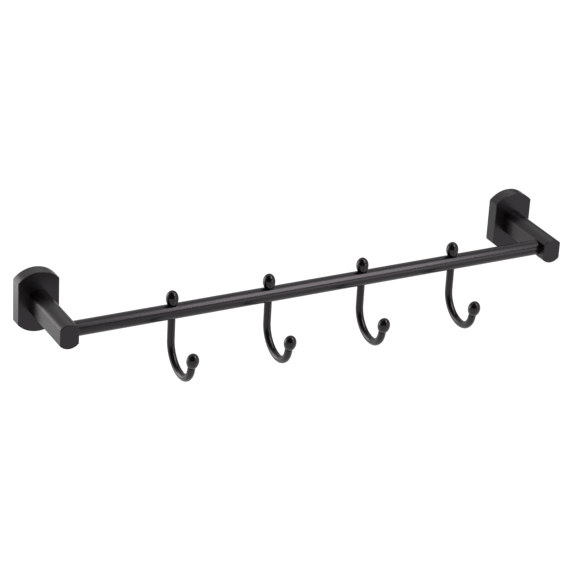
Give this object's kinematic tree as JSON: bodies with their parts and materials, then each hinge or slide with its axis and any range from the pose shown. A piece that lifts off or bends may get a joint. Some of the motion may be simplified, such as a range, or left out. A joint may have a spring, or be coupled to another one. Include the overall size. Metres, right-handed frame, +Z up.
{
  "type": "towel hook rail",
  "caption": "Wall-mounted black metal rail carried on flat-sided posts, with J-shaped towel hooks clamped through it by egg-shaped knobs.",
  "frame": {"origin": "centre of the four wall screw holes, on the wall plane, midway between the two wall plates", "axes": "+X along the rail to the right as seen from the room, +Y into the wall, +Z up; the hooks point to -Y"},
  "size_m": [0.45, 0.1041, 0.0725],
  "materials": {
    "plate_black": "satin black coating",
    "post_black": "satin black coating",
    "rail_black": "satin black coating",
    "hook_black": "satin black coating",
    "bead_black": "glossier black coating",
    "bracket_steel": "zinc plated",
    "screw_steel": "machine finish",
    "grub_steel": "blackened steel"
  },
  "bodies": {
    "root": {"rail": "rail_black", "left_wall_bracket": "bracket_steel", "left_wall_plate": "plate_black", "left_post": "post_black", "left_post_screw": "screw_steel", "left_plate_grub_screw": "grub_steel", "left_rail_grub_screw": "grub_steel", "right_wall_bracket": "bracket_steel", "right_wall_plate": "plate_black", "right_post": "post_black", "right_post_screw": "screw_steel", "right_plate_grub_screw": "grub_steel", "right_rail_grub_screw": "grub_steel", "hook_1": "hook_black", "top_knob_1": "bead_black", "tip_bead_1": "bead_black", "hook_2": "hook_black", "top_knob_2": "bead_black", "tip_bead_2": "bead_black", "hook_3": "hook_black", "top_knob_3": "bead_black", "tip_bead_3": "bead_black", "hook_4": "hook_black", "top_knob_4": "bead_black", "tip_bead_4": "bead_black"}
  },
  "joints": []
}
